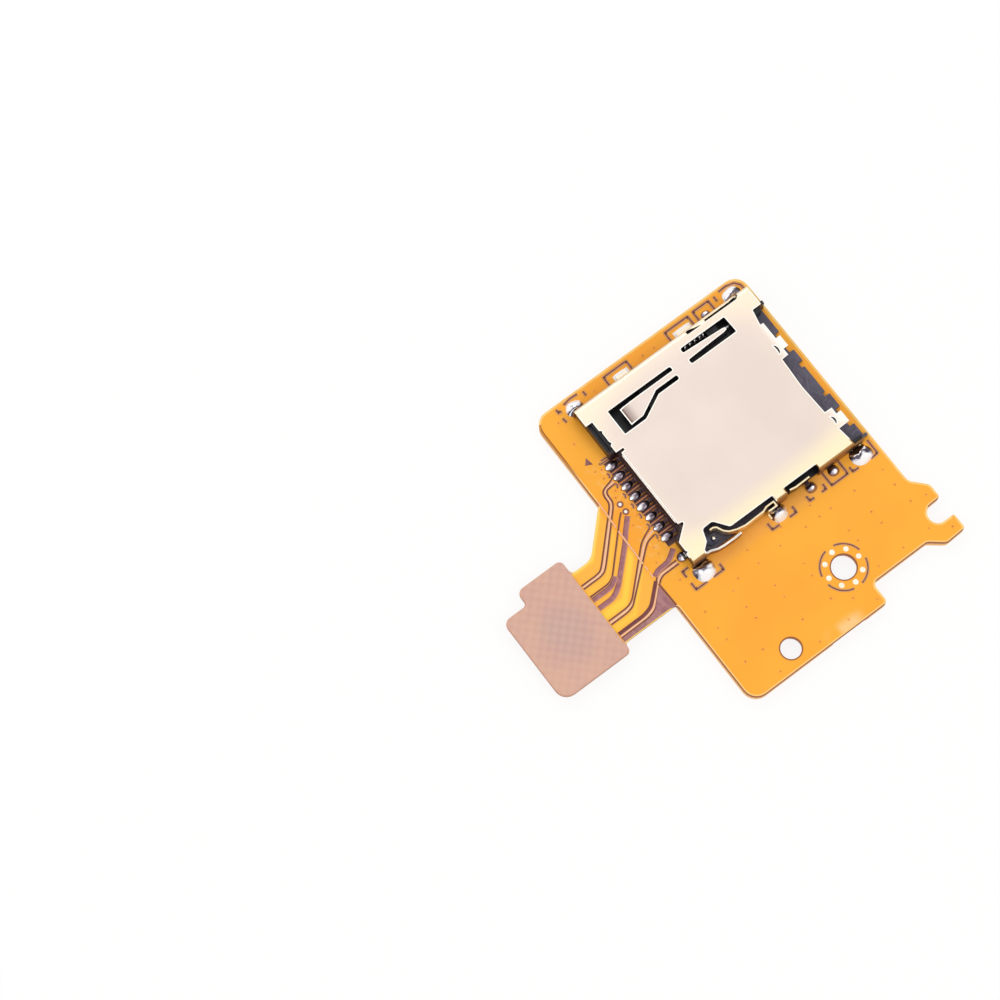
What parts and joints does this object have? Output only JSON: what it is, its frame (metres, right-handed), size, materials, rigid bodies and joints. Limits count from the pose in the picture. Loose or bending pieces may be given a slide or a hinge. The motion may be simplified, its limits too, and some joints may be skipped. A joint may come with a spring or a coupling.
{
  "type": "memory card socket",
  "caption": "Push-push memory card socket with a sheet metal shell, soldered to a small flexible circuit on a stiffener, with a fine plug on its short tail.",
  "frame": {"origin": "centre of the bounding box seen from above, at the underside of the board's stiffener", "axes": "+Z out of the board on the socket's side; +Y towards the socket's mouth, where the card comes out; -Y towards the tail and its plug; +X towards the board's mounting holes"},
  "size_m": [0.0252, 0.0298, 0.0023],
  "materials": {
    "coverlay": "satin orange film over copper",
    "backing": "matt woven laminate",
    "pale_backing": "matt film",
    "nickel_sheet": "nickel-plated satin sheet",
    "plastic": "black moulded",
    "spring_steel": "drawn wire",
    "plated_contact": "plated spring metal",
    "solder": "bright reflowed solder"
  },
  "bodies": {
    "socket": {"flex_circuit": "coverlay", "board_stiffener": "backing", "back_film": "pale_backing", "pad_stiffener": "pale_backing", "shell": "nickel_sheet", "housing": "plastic", "plug_body": "plastic", "slider_spring": "spring_steel", "contact_1": "plated_contact", "contact_2": "plated_contact", "contact_3": "plated_contact", "contact_4": "plated_contact", "contact_5": "plated_contact", "contact_6": "plated_contact", "contact_7": "plated_contact", "contact_8": "plated_contact", "plug_contact_a1": "plated_contact", "plug_contact_a2": "plated_contact", "plug_contact_a3": "plated_contact", "plug_contact_a4": "plated_contact", "plug_contact_a5": "plated_contact", "plug_contact_a6": "plated_contact", "plug_contact_a7": "plated_contact", "plug_contact_a8": "plated_contact", "plug_contact_b1": "plated_contact", "plug_contact_b2": "plated_contact", "plug_contact_b3": "plated_contact", "plug_contact_b4": "plated_contact", "plug_contact_b5": "plated_contact", "plug_contact_b6": "plated_contact", "plug_contact_b7": "plated_contact", "plug_contact_b8": "plated_contact", "switch_leaf": "plated_contact", "switch_contact": "plated_contact", "switch_plate": "plated_contact", "plug_nail_1": "plated_contact", "plug_nail_2": "plated_contact", "solder_front_high": "solder", "solder_rear_high": "solder", "solder_front_low": "solder", "solder_rear_low": "solder", "solder_side_low_1": "solder", "solder_side_low_2": "solder", "solder_switch_leaf": "solder", "solder_switch_contact": "solder", "solder_peg_high": "solder", "solder_peg_low": "solder"},
    "slider": {"slider": "plastic"},
    "cam_pin": {"cam_pin": "spring_steel"}
  },
  "joints": [
    {"name": "slider_slide", "type": "slide", "parent": "socket", "child": "slider", "axis": [0, -1, 0], "range_m": [0, 0.0028], "stiffness_N_per_m": 120, "springref_m": -0.003, "deforming": ["slider_spring"]},
    {"name": "cam_pin_swing", "type": "hinge", "parent": "socket", "child": "cam_pin", "pos_m": [-0.0097, 0.01182, 0.00179], "axis": [0, 0, 1], "range_deg": [0, 4]}
  ]
}
